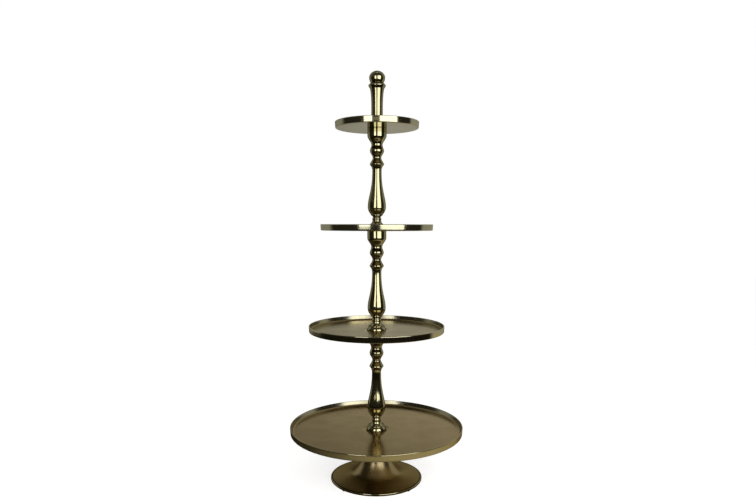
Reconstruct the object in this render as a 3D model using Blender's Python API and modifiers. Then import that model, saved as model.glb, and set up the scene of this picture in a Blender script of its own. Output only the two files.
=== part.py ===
"""Tiered etagere: four rimmed trays clamped between turned columns, on a trumpet foot, with a ball finial.

Metres, +Z up. The origin is on the axis, at the surface that the etagere stands on.
Each column and the finial carries a stud that goes through the tray below it into the next piece down.
"""

from math import cos, pi, radians, sin

import bpy
from mathutils import Vector
from mathutils.geometry import interpolate_bezier

# Trays
BOTTOM_TRAY_RADIUS = 0.2050
LOWER_TRAY_RADIUS = 0.1605
UPPER_TRAY_RADIUS = 0.1327
TOP_TRAY_RADIUS = 0.0987
TRAY_HEIGHT = 0.0144
TRAY_FLOOR = 0.0032
RIM_WALL = 0.0024
RIM_BEVEL = 0.0022
TRAY_EDGE = 0.0014
TRAY_SEAT_DEPTH = 0.0004
TIER_SPACING = 0.2389

# Foot, with heights from its own underside
FOOT_HEIGHT = 0.1146
FOOT_RADIUS = 0.1086
BASE_EDGE = 0.0050
BASE_RING = 0.0100
FOOT_NECK_RADIUS = 0.0280
FOOT_NECK_DROP = 0.0300
FOOT_TOP_RADIUS = 0.0400
FOOT_TOP_EDGE = 0.0050
FOOT_WALL = 0.0045
BOSS_DEPTH = 0.0240

# Column, from its cup at the top down to its flange
CUP_RADIUS = 0.0225
CUP_WALL = 0.0172
CUP_SWEEP = 0.0213
WAIST_RADIUS = 0.0131
BEAD_RADIUS = 0.0166
BEAD_RISE = 0.0139
BEAD_FALL = 0.0163
THROAT_RADIUS = 0.0101
KNOP_RADIUS = 0.0167
KNOP_RISE = 0.0143
KNOP_EDGE = 0.0017
KNOP_COVE = 0.0145
SHAFT_RADIUS = 0.0110
VASE_RADIUS = 0.02145
VASE_ROUND = 0.0183
RING_RADIUS = 0.0149
RING_HEIGHT = 0.0032
RING_STEP = 0.0010
COLUMN_NECK_RADIUS = 0.0116
NECK_COVE = 0.0070
NECK_FLARE = 0.0156
FLANGE_RADIUS = 0.0227
FLANGE_HEIGHT = 0.0077
FLANGE_BULGE = 0.0016

# Finial, from its flange up to its crown
GRIP_RADIUS = 0.0135
GRIP_LENGTH = 0.0578
GRIP_FLARE_RADIUS = 0.0168
FINIAL_FLANGE_RADIUS = 0.0200
FINIAL_FLANGE_HEIGHT = 0.0064
FINIAL_SWEEP = 0.0250
COLLAR_RADIUS = 0.0204
COLLAR_HEIGHT = 0.0133
GROOVE_RADIUS = 0.0149
BALL_RADIUS = 0.0187
BALL_UNDERSIDE = 0.0128
BALL_CROWN = 0.0148

# Studs, washers and felt pads
STUD_RADIUS = 0.0050
STUD_HOLD = 0.0200
STUD_REACH = 0.0180
STUD_CHAMFER = 0.0008
HOLE_RELIEF = 0.0020
WASHER_RADIUS = 0.0110
WASHER_THICKNESS = 0.0010
PAD_RADIUS = 0.0040
PAD_THICKNESS = 0.0015
PAD_COUNT = 4

# Clearances
SEAT_GAP = 0.0003
THREAD_CLEARANCE = 0.0003
TRAY_HOLE_CLEARANCE = 0.0008
TRAY_SEAT_CLEARANCE = 0.0005
WASHER_CLEARANCE = 0.0004

# Facets and shading
TRAY_STEPS = 48
FOOT_STEPS = 36
COLUMN_STEPS = 18
STUD_STEPS = 14
CROWN_ROWS = 6
MERGE_DISTANCE = 0.00005
SHARP_ANGLE = radians(35)

# Sizes that follow from those above
TRAY_RADII = (BOTTOM_TRAY_RADIUS, LOWER_TRAY_RADIUS, UPPER_TRAY_RADIUS, TOP_TRAY_RADIUS)
TIER_COUNT = len(TRAY_RADII)
FOOT_LEVEL = PAD_THICKNESS + SEAT_GAP
FIRST_TRAY_LEVEL = FOOT_LEVEL + FOOT_HEIGHT + SEAT_GAP
TRAY_SEAT = TRAY_FLOOR - TRAY_SEAT_DEPTH
COLUMN_LENGTH = TIER_SPACING - TRAY_SEAT - 2 * SEAT_GAP
TAPPED_RADIUS = STUD_RADIUS + THREAD_CLEARANCE
TAPPED_DEPTH = STUD_REACH + HOLE_RELIEF
TRAY_HOLE_RADIUS = STUD_RADIUS + TRAY_HOLE_CLEARANCE
RECESS_RADIUS = WASHER_RADIUS + WASHER_CLEARANCE
RECESS_DEPTH = WASHER_THICKNESS + SEAT_GAP


def tray_level(tier):
    """Height of the underside of a tray, counted from 0 at the bottom."""
    return FIRST_TRAY_LEVEL + tier * TIER_SPACING


def clear_scene():
    for item in list(bpy.data.objects):
        bpy.data.objects.remove(item)


def finish(name, colour, roughness, metallic):
    """A plain Principled material for one kind of piece."""
    material = bpy.data.materials.new(name)
    material.use_nodes = True
    shader = material.node_tree.nodes["Principled BSDF"]
    shader.inputs["Base Color"].default_value = (*colour, 1.0)
    shader.inputs["Roughness"].default_value = roughness
    shader.inputs["Metallic"].default_value = metallic
    return material


def bezier(start, start_handle, end_handle, end, count):
    """Points of a Bezier sweep in (radius, height), without its first point."""
    knots = [Vector(point).to_3d() for point in (start, start_handle, end_handle, end)]
    points = interpolate_bezier(*knots, count + 1)
    return [(point.x, point.y) for point in points[1:]]


def between(start, end, across, along):
    """The point that lies a share of the way across in radius and a share of the way along in height."""
    return (start[0] + across * (end[0] - start[0]), start[1] + along * (end[1] - start[1]))


def swell(start, end, count, lead=0.36, trail=0.36):
    """An S-shaped sweep that leaves and arrives upright, after lead and trail shares of its height."""
    start_handle = between(start, end, across=0.0, along=lead)
    end_handle = between(start, end, across=1.0, along=1.0 - trail)
    return bezier(start, start_handle, end_handle, end, count)


def trumpet(start, end, count, lead=0.63, trail=0.80):
    """A hollow sweep that leaves upright and arrives level."""
    start_handle = between(start, end, across=0.0, along=lead)
    end_handle = between(start, end, across=1.0 - trail, along=1.0)
    return bezier(start, start_handle, end_handle, end, count)


def bulge(start, end, proud, count):
    """A half-round bead from start to end, standing proud of the straight line between them."""
    points = []
    for index in range(1, count):
        angle = pi * index / count
        share = (1 - cos(angle)) / 2
        radius = start[0] + share * (end[0] - start[0]) + proud * sin(angle)
        points.append((radius, start[1] + share * (end[1] - start[1])))
    return points + [end]


def turned(name, profile, steps, material, level, collection, closed=False):
    """A turned piece: a (radius, height) profile, down its outer side, swept once round the axis."""
    mesh = bpy.data.meshes.new(name)
    edges = [(index, index + 1) for index in range(len(profile) - 1)]
    if closed:
        edges.append((len(profile) - 1, 0))
    mesh.from_pydata([(radius, 0.0, height) for radius, height in profile], edges, [])
    piece = bpy.data.objects.new(name, mesh)
    piece.location = (0.0, 0.0, level)
    collection.objects.link(piece)
    screw = piece.modifiers.new("turn", "SCREW")
    screw.axis = "Z"
    screw.angle = 2 * pi
    screw.steps = steps
    screw.render_steps = steps
    screw.use_merge_vertices = True
    screw.merge_threshold = MERGE_DISTANCE
    depsgraph = bpy.context.evaluated_depsgraph_get()
    piece.data = bpy.data.meshes.new_from_object(piece.evaluated_get(depsgraph))
    piece.data.name = name
    piece.modifiers.clear()
    piece.data.materials.clear()
    piece.data.materials.append(material)
    piece.data.shade_smooth()
    piece.data.set_sharp_from_angle(angle=SHARP_ANGLE)
    bpy.data.meshes.remove(mesh)
    return piece


def tray_profile(radius, flange_radius):
    """Flat floor with a shallow seat for the flange above it, a centre hole, a bevelled corner and a rim."""
    inner = radius - RIM_WALL
    lip = RIM_WALL / 4
    seat_radius = flange_radius + TRAY_SEAT_CLEARANCE
    return [
        (TRAY_HOLE_RADIUS, TRAY_SEAT),
        (seat_radius, TRAY_SEAT),
        (seat_radius, TRAY_FLOOR),
        (inner - RIM_BEVEL, TRAY_FLOOR),
        (inner, TRAY_FLOOR + RIM_BEVEL),
        (inner, TRAY_HEIGHT - lip),
        (inner + lip, TRAY_HEIGHT),
        (radius - lip, TRAY_HEIGHT),
        (radius, TRAY_HEIGHT - lip),
        (radius, TRAY_EDGE),
        (radius - TRAY_EDGE, 0.0),
        (TRAY_HOLE_RADIUS, 0.0),
    ]


def foot_profile():
    """Hollow trumpet: top edge, neck, wide flare, base edge, then the cavity and the tapped boss."""
    top = FOOT_HEIGHT
    shoulder = (FOOT_TOP_RADIUS, top - FOOT_TOP_EDGE)
    neck = (FOOT_NECK_RADIUS, top - FOOT_NECK_DROP)
    base = (FOOT_RADIUS, BASE_EDGE)
    cavity_top = (FOOT_NECK_RADIUS - FOOT_WALL, top - BOSS_DEPTH)
    cavity_base = (FOOT_RADIUS - BASE_RING, 0.0)
    cavity = [cavity_top, *trumpet(cavity_top, cavity_base, 6)]
    shoulder_handle = between(shoulder, neck, across=0.9, along=0.2)
    neck_handle = between(shoulder, neck, across=1.0, along=0.45)
    return [
        (TAPPED_RADIUS, top),
        (FOOT_TOP_RADIUS, top),
        shoulder,
        *bezier(shoulder, shoulder_handle, neck_handle, neck, 4),
        *trumpet(neck, base, 10),
        (FOOT_RADIUS, 0.0),
        *reversed(cavity),
        (TAPPED_RADIUS, top - BOSS_DEPTH),
    ]


def socket_profile(rim_radius):
    """Underside of a column or of the finial: recess for the washer and blind hole that holds the stud."""
    ceiling = STUD_HOLD + SEAT_GAP
    return [
        (rim_radius, 0.0),
        (RECESS_RADIUS, 0.0),
        (RECESS_RADIUS, RECESS_DEPTH),
        (TAPPED_RADIUS, RECESS_DEPTH),
        (TAPPED_RADIUS, ceiling),
        (0.0, ceiling),
    ]


def column_profile():
    """Turned baluster: tapped cup, bead, sharp knop, long vase, ring, neck and flange."""
    height = COLUMN_LENGTH
    cup_end = (CUP_RADIUS, height - CUP_WALL)
    waist = (WAIST_RADIUS, cup_end[1] - CUP_SWEEP)
    bead = (BEAD_RADIUS, waist[1] - BEAD_RISE)
    throat = (THROAT_RADIUS, bead[1] - BEAD_FALL)
    knop_top = (KNOP_RADIUS, throat[1] - KNOP_RISE)
    knop = (KNOP_RADIUS, knop_top[1] - KNOP_EDGE)
    shaft = (SHAFT_RADIUS, knop[1] - KNOP_COVE)
    flange_top = (FLANGE_RADIUS - FLANGE_BULGE, FLANGE_HEIGHT)
    neck = (COLUMN_NECK_RADIUS, flange_top[1] + NECK_FLARE)
    ring_foot = (RING_RADIUS - RING_STEP, neck[1] + NECK_COVE)
    ring_top = (RING_RADIUS - RING_STEP, ring_foot[1] + RING_HEIGHT)
    vase = (VASE_RADIUS, ring_top[1] + VASE_ROUND)
    knop_handle = between(knop, shaft, across=0.46, along=0.20)
    shaft_handle = between(knop, shaft, across=1.0, along=0.42)
    vase_handle = between(vase, ring_top, across=0.0, along=0.44)
    ring_handle = between(vase, ring_top, across=0.58, along=0.80)
    cove_handle = between(ring_foot, neck, across=0.7, along=0.3)
    neck_handle = between(ring_foot, neck, across=1.0, along=0.6)
    flare_handle = between(neck, flange_top, across=0.0, along=0.25)
    flange_handle = between(neck, flange_top, across=0.55, along=0.80)
    flange_foot = (flange_top[0], 0.0)
    return [
        (0.0, height - TAPPED_DEPTH),
        (TAPPED_RADIUS, height - TAPPED_DEPTH),
        (TAPPED_RADIUS, height),
        (CUP_RADIUS, height),
        cup_end,
        *swell(cup_end, waist, 5),
        *swell(waist, bead, 4),
        *swell(bead, throat, 5),
        *swell(throat, knop_top, 3, lead=0.25, trail=0.12),
        knop,
        *bezier(knop, knop_handle, shaft_handle, shaft, 3),
        *swell(shaft, vase, 7, lead=0.53, trail=0.31),
        *bezier(vase, vase_handle, ring_handle, ring_top, 4),
        *bulge(ring_top, ring_foot, RING_STEP, 3),
        *bezier(ring_foot, cove_handle, neck_handle, neck, 2),
        *bezier(neck, flare_handle, flange_handle, flange_top, 4),
        *bulge(flange_top, flange_foot, FLANGE_BULGE, 4)[:-1],
        *socket_profile(flange_foot[0]),
    ]


def finial_profile():
    """Handle with a flared top, a rounded collar and a slightly flattened ball."""
    flange_top = (FINIAL_FLANGE_RADIUS - FLANGE_BULGE, FINIAL_FLANGE_HEIGHT)
    grip_foot = (GRIP_RADIUS, flange_top[1] + FINIAL_SWEEP)
    grip_top = (GRIP_FLARE_RADIUS, grip_foot[1] + GRIP_LENGTH)
    groove = (GROOVE_RADIUS, grip_top[1] + COLLAR_HEIGHT)
    widest = (BALL_RADIUS, groove[1] + BALL_UNDERSIDE)
    crown = [pi / 2 * index / CROWN_ROWS for index in range(CROWN_ROWS)]
    ball_handle = between(widest, groove, across=0.0, along=0.5)
    groove_handle = between(widest, groove, across=0.7, along=0.9)
    collar_proud = COLLAR_RADIUS - (GRIP_FLARE_RADIUS + GROOVE_RADIUS) / 2
    flare_handle = between(grip_top, grip_foot, across=1.0, along=0.22)
    grip_handle = between(grip_top, grip_foot, across=1.0, along=0.60)
    hollow_handle = between(grip_foot, flange_top, across=0.0, along=0.7)
    flange_handle = between(grip_foot, flange_top, across=0.0, along=0.9)
    flange_foot = (flange_top[0], 0.0)
    return [
        *[(BALL_RADIUS * sin(angle), widest[1] + BALL_CROWN * cos(angle)) for angle in crown],
        widest,
        *bezier(widest, ball_handle, groove_handle, groove, 4),
        *bulge(groove, grip_top, collar_proud, 6),
        *bezier(grip_top, flare_handle, grip_handle, grip_foot, 6),
        *bezier(grip_foot, hollow_handle, flange_handle, flange_top, 5),
        *bulge(flange_top, flange_foot, FLANGE_BULGE, 4)[:-1],
        *socket_profile(flange_foot[0]),
    ]


def stud_profile():
    """Plain rod with chamfered ends, with heights from the base of the piece that holds it."""
    top = STUD_HOLD
    bottom = -(2 * SEAT_GAP + TRAY_SEAT + STUD_REACH)
    tip = STUD_RADIUS - STUD_CHAMFER
    return [
        (0.0, top),
        (tip, top),
        (STUD_RADIUS, top - STUD_CHAMFER),
        (STUD_RADIUS, bottom + STUD_CHAMFER),
        (tip, bottom),
        (0.0, bottom),
    ]


def washer_profile():
    return [
        (TRAY_HOLE_RADIUS, WASHER_THICKNESS),
        (WASHER_RADIUS, WASHER_THICKNESS),
        (WASHER_RADIUS, 0.0),
        (TRAY_HOLE_RADIUS, 0.0),
    ]


def add_felt_pads(material, collection):
    """Felt discs stuck in the middle of the foot's base ring."""
    ring_middle = FOOT_RADIUS - BASE_RING / 2
    for index in range(PAD_COUNT):
        angle = 2 * pi * (index + 0.5) / PAD_COUNT
        place = (ring_middle * cos(angle), ring_middle * sin(angle), PAD_THICKNESS / 2)
        bpy.ops.mesh.primitive_cylinder_add(
            vertices=STUD_STEPS, radius=PAD_RADIUS, depth=PAD_THICKNESS, location=place
        )
        pad = bpy.context.object
        pad.name = f"felt_pad_{index + 1}"
        pad.data.name = pad.name
        pad.data.materials.append(material)
        pad.data.shade_smooth()
        pad.data.set_sharp_from_angle(angle=SHARP_ANGLE)
        for other in list(pad.users_collection):
            other.objects.unlink(pad)
        collection.objects.link(pad)


def main():
    clear_scene()
    etagere = bpy.data.collections.new("tiered_etagere")
    bpy.context.scene.collection.children.link(etagere)
    polished = finish("polished_brass", (0.55, 0.47, 0.27), 0.12, 1.0)
    satin = finish("satin_brass", (0.42, 0.36, 0.22), 0.32, 1.0)
    bronzed = finish("bronzed_foot", (0.26, 0.20, 0.09), 0.28, 1.0)
    steel = finish("plated_steel", (0.56, 0.56, 0.54), 0.35, 1.0)
    rubber = finish("black_rubber", (0.02, 0.02, 0.02), 0.75, 0.0)
    felt = finish("brown_felt", (0.07, 0.05, 0.03), 0.95, 0.0)

    turned("foot", foot_profile(), FOOT_STEPS, bronzed, FOOT_LEVEL, etagere, closed=True)
    add_felt_pads(felt, etagere)
    for tier, radius in enumerate(TRAY_RADII):
        number = tier + 1
        level = tray_level(tier)
        seat_level = level + TRAY_SEAT + SEAT_GAP
        if number < TIER_COUNT:
            tray = tray_profile(radius, FLANGE_RADIUS)
            turned(f"column_{number}", column_profile(), COLUMN_STEPS, polished, seat_level, etagere)
        else:
            tray = tray_profile(radius, FINIAL_FLANGE_RADIUS)
            turned("finial", finial_profile(), COLUMN_STEPS, polished, seat_level, etagere)
        turned(f"tray_{number}", tray, TRAY_STEPS, satin, level, etagere, closed=True)
        turned(f"washer_{number}", washer_profile(), COLUMN_STEPS, rubber, seat_level, etagere, closed=True)
        turned(f"stud_{number}", stud_profile(), STUD_STEPS, steel, seat_level, etagere)


main()
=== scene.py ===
# %% [markdown]
# # A tiered etagere in antique brass
#
# The real stand is a stack of turned and polished castings: a trumpet foot, four round trays, three columns
# and a handle with a ball, held together by threaded studs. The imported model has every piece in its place
# and at its real size. This lesson gives each piece its fine outline and its finish, and sets up a small
# photo studio round it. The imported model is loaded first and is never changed: each new piece is made where
# an old one is, stands for it, and rides on its body.

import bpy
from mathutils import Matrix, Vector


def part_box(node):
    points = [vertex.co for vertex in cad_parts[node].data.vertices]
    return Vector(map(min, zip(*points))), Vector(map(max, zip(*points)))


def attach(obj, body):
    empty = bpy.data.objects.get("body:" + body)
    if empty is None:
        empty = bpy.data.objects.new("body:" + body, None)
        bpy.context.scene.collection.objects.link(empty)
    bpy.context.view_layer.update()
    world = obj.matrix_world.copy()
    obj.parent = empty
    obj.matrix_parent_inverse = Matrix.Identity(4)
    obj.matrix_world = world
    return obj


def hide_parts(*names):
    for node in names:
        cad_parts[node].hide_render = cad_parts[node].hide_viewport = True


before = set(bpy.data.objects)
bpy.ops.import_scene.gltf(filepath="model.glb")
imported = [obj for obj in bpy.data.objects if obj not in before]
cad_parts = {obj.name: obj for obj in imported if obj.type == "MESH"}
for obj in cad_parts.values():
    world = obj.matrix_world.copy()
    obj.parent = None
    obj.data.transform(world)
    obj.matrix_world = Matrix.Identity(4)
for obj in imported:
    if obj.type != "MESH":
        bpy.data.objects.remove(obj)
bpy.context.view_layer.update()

# %% [markdown]
# ## The camera
#
# The photograph was taken from about a metre and a half away, at the height of the third tray and tilted
# down a little: the top tray is seen from below, the third one edge-on and the others from above. A camera
# can be moved by eye until it looks right, but the four trays are circles of known size, so their ellipses
# give its place, its tilt and its focal length in pixels, which only needs turning into millimetres. The
# columns also lean by an eighth of a degree in the photograph, so the camera is rolled by as much.

# %% Camera
import bpy
from math import pi

CAMERA_PLACE = (0.0028, -1.482, 0.612)
CAMERA_TILT, CAMERA_ROLL = 0.0462, -0.0023
FOCAL_PIXELS = 627.5
IMAGE_WIDTH = 756
SENSOR_WIDTH = 36.0

camera_data = bpy.data.cameras.new("camera")
camera_data.sensor_width = SENSOR_WIDTH
camera_data.lens = FOCAL_PIXELS / IMAGE_WIDTH * SENSOR_WIDTH
camera = bpy.data.objects.new("camera", camera_data)
camera.location = CAMERA_PLACE
camera.rotation_euler = (pi / 2 - CAMERA_TILT, CAMERA_ROLL, 0.0)
bpy.context.scene.collection.objects.link(camera)
bpy.context.scene.camera = camera
print("camera lens in mm:", round(camera_data.lens, 2))

# %% [markdown]
# ## Outlines, as a turner draws them
#
# A turner works from a half outline: radius against height. Here an outline is a list of such points, and
# the long sweeps between its named points are Bezier curves. The two pulls that shape a sweep are given as
# shares of the way across and along, so a sweep keeps its character when its ends are moved. Three kinds make
# most of this stand: a swell that leaves and arrives upright, a trumpet that leaves upright and arrives
# level, and a half-round bead. A curve object could hold the same shape, but plain points let one piece have
# several finishes.

# %% Sweeps between two points of an outline
from math import cos, sin

from mathutils import Vector
from mathutils.geometry import interpolate_bezier

MM = 0.001


def sweep(start, start_pull, end_pull, end, count):
    """Points of a Bezier sweep from start to end, without its first point."""
    knots = [Vector(point).to_3d() for point in (start, start_pull, end_pull, end)]
    return [(point.x, point.y) for point in interpolate_bezier(*knots, count + 1)[1:]]


def between(start, end, across, along):
    """The point a share of the way across in radius and a share of the way along in height."""
    return (start[0] + across * (end[0] - start[0]), start[1] + along * (end[1] - start[1]))


def shaped(start, end, pulls, count=14):
    """A sweep whose two pulls are given as shares of the way across and along."""
    start_pull, end_pull = [between(start, end, across, along) for across, along in pulls]
    return sweep(start, start_pull, end_pull, end, count)


def swell(start, end, lead=0.36, trail=0.36, count=14):
    """A sweep that leaves and arrives upright."""
    return shaped(start, end, ((0.0, lead), (1.0, 1.0 - trail)), count)


def trumpet(start, end, lead, trail, count):
    """A sweep that leaves upright and arrives level."""
    return shaped(start, end, ((0.0, lead), (1.0 - trail, 1.0)), count)


def bead(start, end, proud, count):
    """A half-round that stands proud of the straight line from start to end."""
    points = []
    for index in range(1, count + 1):
        turn = pi * index / count
        share = (1 - cos(turn)) / 2
        radius, height = between(start, end, share, share)
        points.append((radius + proud * sin(turn), height))
    return points


print("a test swell has", len(swell((1.0, 1.0), (2.0, 0.0))), "points")

# %% [markdown]
# Straight runs need points too, because the finishes below follow marks that are stored on the points. And
# no real edge is perfectly sharp, so a corner is cut back and rounded.

# %% Straight runs and softened corners
CORNER_PULL = 0.6


def straight(start, end, count):
    """Points at even steps from start to end, without start itself."""
    return [between(start, end, index / count, index / count) for index in range(1, count + 1)]


def round_corner(start, corner, end, count):
    """A sweep from start to end that is drawn towards the corner between them."""
    start_pull = between(start, corner, CORNER_PULL, CORNER_PULL)
    end_pull = between(end, corner, CORNER_PULL, CORNER_PULL)
    return sweep(start, start_pull, end_pull, end, count)


def soften(before, corner, after, size, count=5):
    """The corner between two straight runs, rounded off over the given size."""
    start = Vector(corner) + size * (Vector(before) - Vector(corner)).normalized()
    end = Vector(corner) + size * (Vector(after) - Vector(corner)).normalized()
    return [tuple(start), *round_corner(start, corner, end, count)]


print("a softened corner has", len(soften((0.0, 1.0), (1.0, 1.0), (1.0, 0.0), 0.2)), "points")

# %% [markdown]
# ## A lathe in a few lines
#
# Blender's Screw modifier spins an outline, but it gives the whole piece one finish. Here the rings are laid
# out directly: one ring of points for each point of the outline, and a band of quads from ring to ring. Each
# band keeps the finish of its stretch of the outline, so a tray can have a satin floor and a polished rim.
#
# The lathe also marks each point with how sharply the outline bends there: above zero on a proud edge, where
# hands and cloths rub the metal bright, and below zero in a hollow, where tarnish stays. The finishes read
# that mark, so wear sits where it would on the real stand.

# %% Wear marks from the bends of an outline
from math import atan2

SHORTEST_STEP = 0.1 * MM


def bends(outline, closed):
    """The turn of an outline at each point, per metre: above zero on proud edges, below zero in hollows."""
    count = len(outline)
    found = []
    for index, here in enumerate(outline):
        if not closed and index in (0, count - 1):
            found.append(0.0)
            continue
        into = Vector(here) - Vector(outline[index - 1])
        out = Vector(outline[(index + 1) % count]) - Vector(here)
        turn = atan2(into.cross(out), into.dot(out))
        found.append(-turn / max(0.5 * (into.length + out.length), SHORTEST_STEP))
    return found


square = [(0.0, 1.0), (1.0, 1.0), (1.0, 0.0), (0.0, 0.0)]
print("bends of a square:", [round(bend, 1) for bend in bends(square, closed=True)])


# %% Rings of points, and bands of faces between them
def lay_rings(outline, steps, level):
    """A ring for each point of an outline, or a single point on the axis, and the places of all points."""
    rings, places = [], []
    for radius, height in outline:
        count = steps if radius > 0.0 else 1
        rings.append([len(places) + index for index in range(count)])
        angles = [2 * pi * index / steps for index in range(count)]
        places += [(radius * cos(angle), radius * sin(angle), level + height) for angle in angles]
    return rings, places


def join_rings(above, below, steps):
    """A band of quads between two rings, or of triangles round a single point."""
    band = []
    for index in range(steps):
        after = index + 1
        corners = (above[index % len(above)], below[index % len(below)])
        corners += (below[after % len(below)], above[after % len(above)])
        band.append(tuple(dict.fromkeys(corners)))
    return band


cone_rings, cone_places = lay_rings([(0.0, 1.0), (1.0, 0.0)], 8, 0.0)
print("a test cone has", len(cone_places), "points and", len(join_rings(*cone_rings, 8)), "faces")

# %% [markdown]
# A turned piece is a mesh of such bands, with its finishes and its marks. Smooth shading hides the steps of
# the lathe, and only true edges are kept sharp. The last helper hands a piece over: it hides the piece of the
# imported model that it replaces and puts the new piece on the body that carries it.

# %% Meshes and their shading
from math import degrees, radians

SHARP_EDGE = radians(40)


def new_mesh(name, places, faces, finishes):
    """A mesh with its finishes in order."""
    mesh = bpy.data.meshes.new(name)
    mesh.from_pydata(places, [], faces)
    for finish in finishes:
        mesh.materials.append(finish)
    return mesh


def smooth(mesh):
    """Shade a mesh smooth, apart from its sharp edges."""
    mesh.shade_smooth()
    mesh.set_sharp_from_angle(angle=SHARP_EDGE)


def place_mesh(name, mesh):
    """A mesh as an object in the scene."""
    made = bpy.data.objects.new(name, mesh)
    bpy.context.scene.collection.objects.link(made)
    return made


print("edges that turn by more than", round(degrees(SHARP_EDGE)), "degrees stay sharp")

# %% The lathe itself
from itertools import pairwise


def turn_piece(name, stretches, steps, level):
    """Spin (finish, points) stretches of an outline round the axis, with heights counted from level."""
    outline = [point for _, points in stretches for point in points]
    finishes = [finish for finish, points in stretches for _ in points]
    closed = outline[0][0] > 0.0
    rings, places = lay_rings(outline, steps, level)
    bands = list(pairwise(rings)) + ([(rings[-1], rings[0])] if closed else [])
    used = list(dict.fromkeys(finishes))
    faces, slots = [], []
    for (above, below), finish in zip(bands, finishes[1:] + finishes[:1]):
        faces += join_rings(above, below, steps)
        slots += [used.index(finish)] * steps
    marks = [bend for bend, ring in zip(bends(outline, closed), rings) for _ in ring]
    mesh = new_mesh(name, places, faces, used)
    mesh.polygons.foreach_set("material_index", slots)
    mesh.attributes.new("edge_wear", "FLOAT", "POINT").data.foreach_set("value", marks)
    smooth(mesh)
    return place_mesh(name, mesh)


def dress(piece, node, body):
    """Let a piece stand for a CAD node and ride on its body."""
    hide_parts(node)
    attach(piece, body)
    print(f"{piece.name}: {len(piece.data.polygons)} faces, on {body}")


print("the lathe is ready")

# %% [markdown]
# ## Building a finish from nodes
#
# A finish is a small graph of nodes round one Principled shader. A helper adds a node, sets its plain values
# and links whatever is given as another node's socket, so that a finish reads as a list of its layers.

# %% Helpers for nodes
# places of the colour sockets in a Mix node's lists
MIX_SHARE, MIX_FIRST, MIX_SECOND, MIX_RESULT = 0, 6, 7, 2


def feed(tree, socket, value):
    """Link a socket to another node's socket, or set it to a plain value."""
    if isinstance(value, bpy.types.NodeSocket):
        tree.links.new(value, socket)
    else:
        socket.default_value = value


def add_node(tree, kind, settings=None, **inputs):
    """Add a node; settings are its own options, and inputs are plain values or sockets to link."""
    made = tree.nodes.new(kind)
    for option, value in (settings or {}).items():
        setattr(made, option, value)
    for label, value in inputs.items():
        feed(tree, made.inputs[label.replace("_", " ")], value)
    return made


def blend_tones(tree, share, first, second):
    """A colour that goes from the first tone to the second as share goes from 0 to 1."""
    made = add_node(tree, "ShaderNodeMix", {"data_type": "RGBA"})
    for place, value in ((MIX_SHARE, share), (MIX_FIRST, first), (MIX_SECOND, second)):
        feed(tree, made.inputs[place], value)
    return made.outputs[MIX_RESULT]


def span(tree, value, low, high, to_low=0.0, to_high=1.0):
    """Map a value from one span to another, held at the ends."""
    made = add_node(tree, "ShaderNodeMapRange", Value=value, From_Min=low, From_Max=high,
                    To_Min=to_low, To_Max=to_high)
    return made.outputs["Result"]


def new_finish(name, metallic, roughness):
    """A material with its Principled shader, and the place of each point in metres."""
    finish = bpy.data.materials.new(name)
    finish.use_nodes = True
    tree = finish.node_tree
    shader = tree.nodes["Principled BSDF"]
    shader.inputs["Metallic"].default_value = metallic
    shader.inputs["Roughness"].default_value = roughness
    place = tree.nodes.new("ShaderNodeTexCoord").outputs["Object"]
    return finish, tree, shader, place


print("node helpers are ready")

# %% [markdown]
# ## Antique brass, from bright to black
#
# The castings are plated and toned, then polished by hand: the columns and the outsides of the rims are
# bright, the tray floors are satin with the fine rings of the lathe, the insides of the rims and the
# undersides are in between, and the foot is left darker. The bottom tray is toned warmer than the others.
#
# All the finishes are the same layers with other values. Clouds shift the tone a little, as hand toning does.
# The wear marks darken hollows and brighten edges. The polish isn't even either, so the clouds also move the
# roughness. Two bumps follow: slow waves, because a hand-polished casting is never quite true and bends its
# reflections, and the close rings that the lathe leaves. Last comes the tint of the metal at a glancing
# angle: bare metal turns white there, and a toned one stays duller.

# %% A function for every brass finish
HOLLOW_BENDS = (-70.0, -420.0)
EDGE_BENDS = (150.0, 900.0)
CLOUD_SCALE, CLOUD_DETAIL, CLOUD_ROUGHNESS = 16.0, 5.0, 0.62
CLOUD_SPAN = (0.35, 0.68)
NOISE_SPAN = (0.3, 0.7)
WAVE_SCALE, WAVE_DETAIL = 26.0, 1.0
RING_SCALE, RING_WOBBLE, RING_DETAIL = 420.0, 0.6, 2.0


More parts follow.
